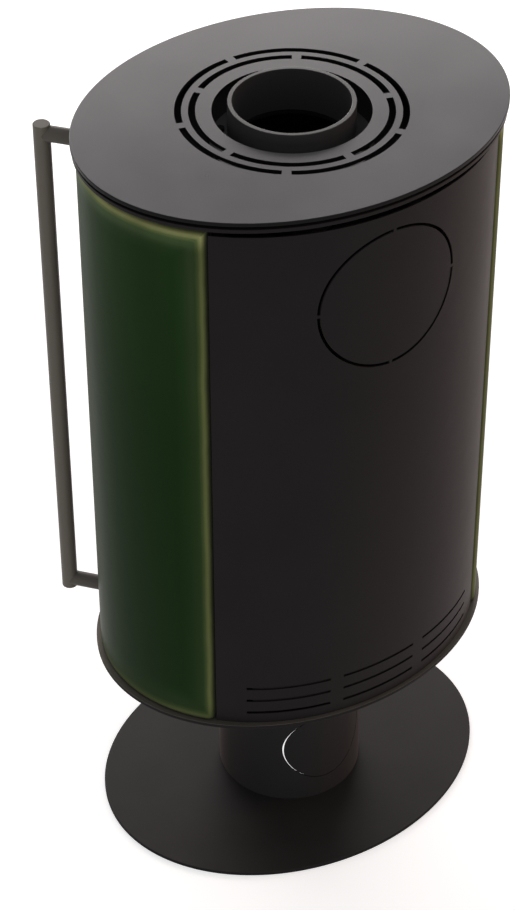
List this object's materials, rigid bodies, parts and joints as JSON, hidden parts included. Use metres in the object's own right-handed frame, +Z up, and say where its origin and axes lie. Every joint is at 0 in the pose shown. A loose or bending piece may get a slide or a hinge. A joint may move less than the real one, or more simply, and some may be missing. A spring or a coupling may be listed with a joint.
{
  "type": "wood stove",
  "caption": "Oval wood stove with curved glazed side tiles on a pedestal, with a hinged curved door, upright bar handle, lined firebox and flue collar.",
  "frame": {"origin": "on the floor, under the middle of the oval floor plate", "axes": "+Z up; the door faces -Y and the steel back with the knock-out faces +Y; tiles at -X and +X"},
  "size_m": [0.54, 0.43, 1.0619],
  "materials": {
    "steel_black": "satin stove paint",
    "steel_top": "satin stove paint",
    "glaze": "glossy bottle green glaze, paler at the edges",
    "handle_steel": "satin dark grey",
    "inner_steel": "matt stove paint",
    "raw_steel": "plated",
    "vermiculite": "matt",
    "cast": "rough cast",
    "glass": "clear ceramic glass",
    "fibre": "glass fibre",
    "bronze": "plain bearing bronze"
  },
  "bodies": {
    "stove": {"floor_plate": "steel_top", "pedestal_tube": "steel_black", "pedestal_flanges": "inner_steel", "base_screws": "raw_steel", "head_bolts": "raw_steel", "bottom_plate": "steel_black", "rear_panel": "steel_black", "front_posts": "inner_steel", "rear_posts": "inner_steel", "left_tile": "glaze", "right_tile": "glaze", "tile_pads": "fibre", "casing_ring": "steel_black", "top_plate": "steel_top", "top_spacers": "raw_steel", "firebox_shell": "inner_steel", "firebox_front": "inner_steel", "firebox_top": "inner_steel", "firebox_floor": "inner_steel", "flue_collar": "steel_top", "collar_gasket": "fibre", "collar_bolts": "inner_steel", "outlet_cover": "inner_steel", "outlet_cover_bolts": "raw_steel", "rear_lining": "vermiculite", "left_lining": "vermiculite", "right_lining": "vermiculite", "corner_linings": "vermiculite", "hearth_bricks": "vermiculite", "lower_baffle": "vermiculite", "upper_baffle": "inner_steel", "baffle_rests": "inner_steel", "grate": "cast", "log_guard": "inner_steel", "air_box": "inner_steel", "air_risers": "inner_steel", "air_wash_rail": "inner_steel", "rear_heat_shield": "inner_steel", "shield_spacers": "raw_steel", "hinge_pins": "raw_steel", "catch_housing": "inner_steel"},
    "door": {"door_skin": "steel_black", "door_frame": "inner_steel", "door_glass": "glass", "glass_seal": "fibre", "glass_clips": "raw_steel", "door_rope": "fibre", "hinge_bushes": "bronze", "handle_bar": "handle_steel", "handle_arms": "handle_steel", "door_striker": "raw_steel"},
    "air_control": {"air_lever": "handle_steel", "air_spindle": "raw_steel", "air_shutter": "inner_steel"},
    "ash_drawer": {"ash_pan": "raw_steel", "ash_pan_handle": "raw_steel"},
    "catch_plunger": {"catch_plunger": "raw_steel"},
    "catch_roller": {"catch_roller": "raw_steel"}
  },
  "joints": [
    {"name": "door_hinge", "type": "hinge", "parent": "stove", "child": "door", "pos_m": [-0.17909, -0.13999, 0.6549], "axis": [0, 0, -1], "range_deg": [0, 110]},
    {"name": "air_lever_turn", "type": "hinge", "parent": "stove", "child": "air_control", "pos_m": [0, -0.12, 0.2743], "axis": [0, 0, 1], "range_deg": [-30, 30]},
    {"name": "ash_pan_slide", "type": "slide", "parent": "stove", "child": "ash_drawer", "axis": [0, -1, 0], "range_m": [0, 0.04]},
    {"name": "catch_plunger_slide", "type": "slide", "parent": "stove", "child": "catch_plunger", "axis": [0, 0, 1], "range_m": [0, 0.004], "stiffness_N_per_m": 800, "springref_m": -0.004},
    {"name": "catch_roller_spin", "type": "hinge", "parent": "catch_plunger", "child": "catch_roller", "pos_m": [0.182, -0.098, 0.6592], "axis": [1, 0, 0], "continuous": true}
  ]
}
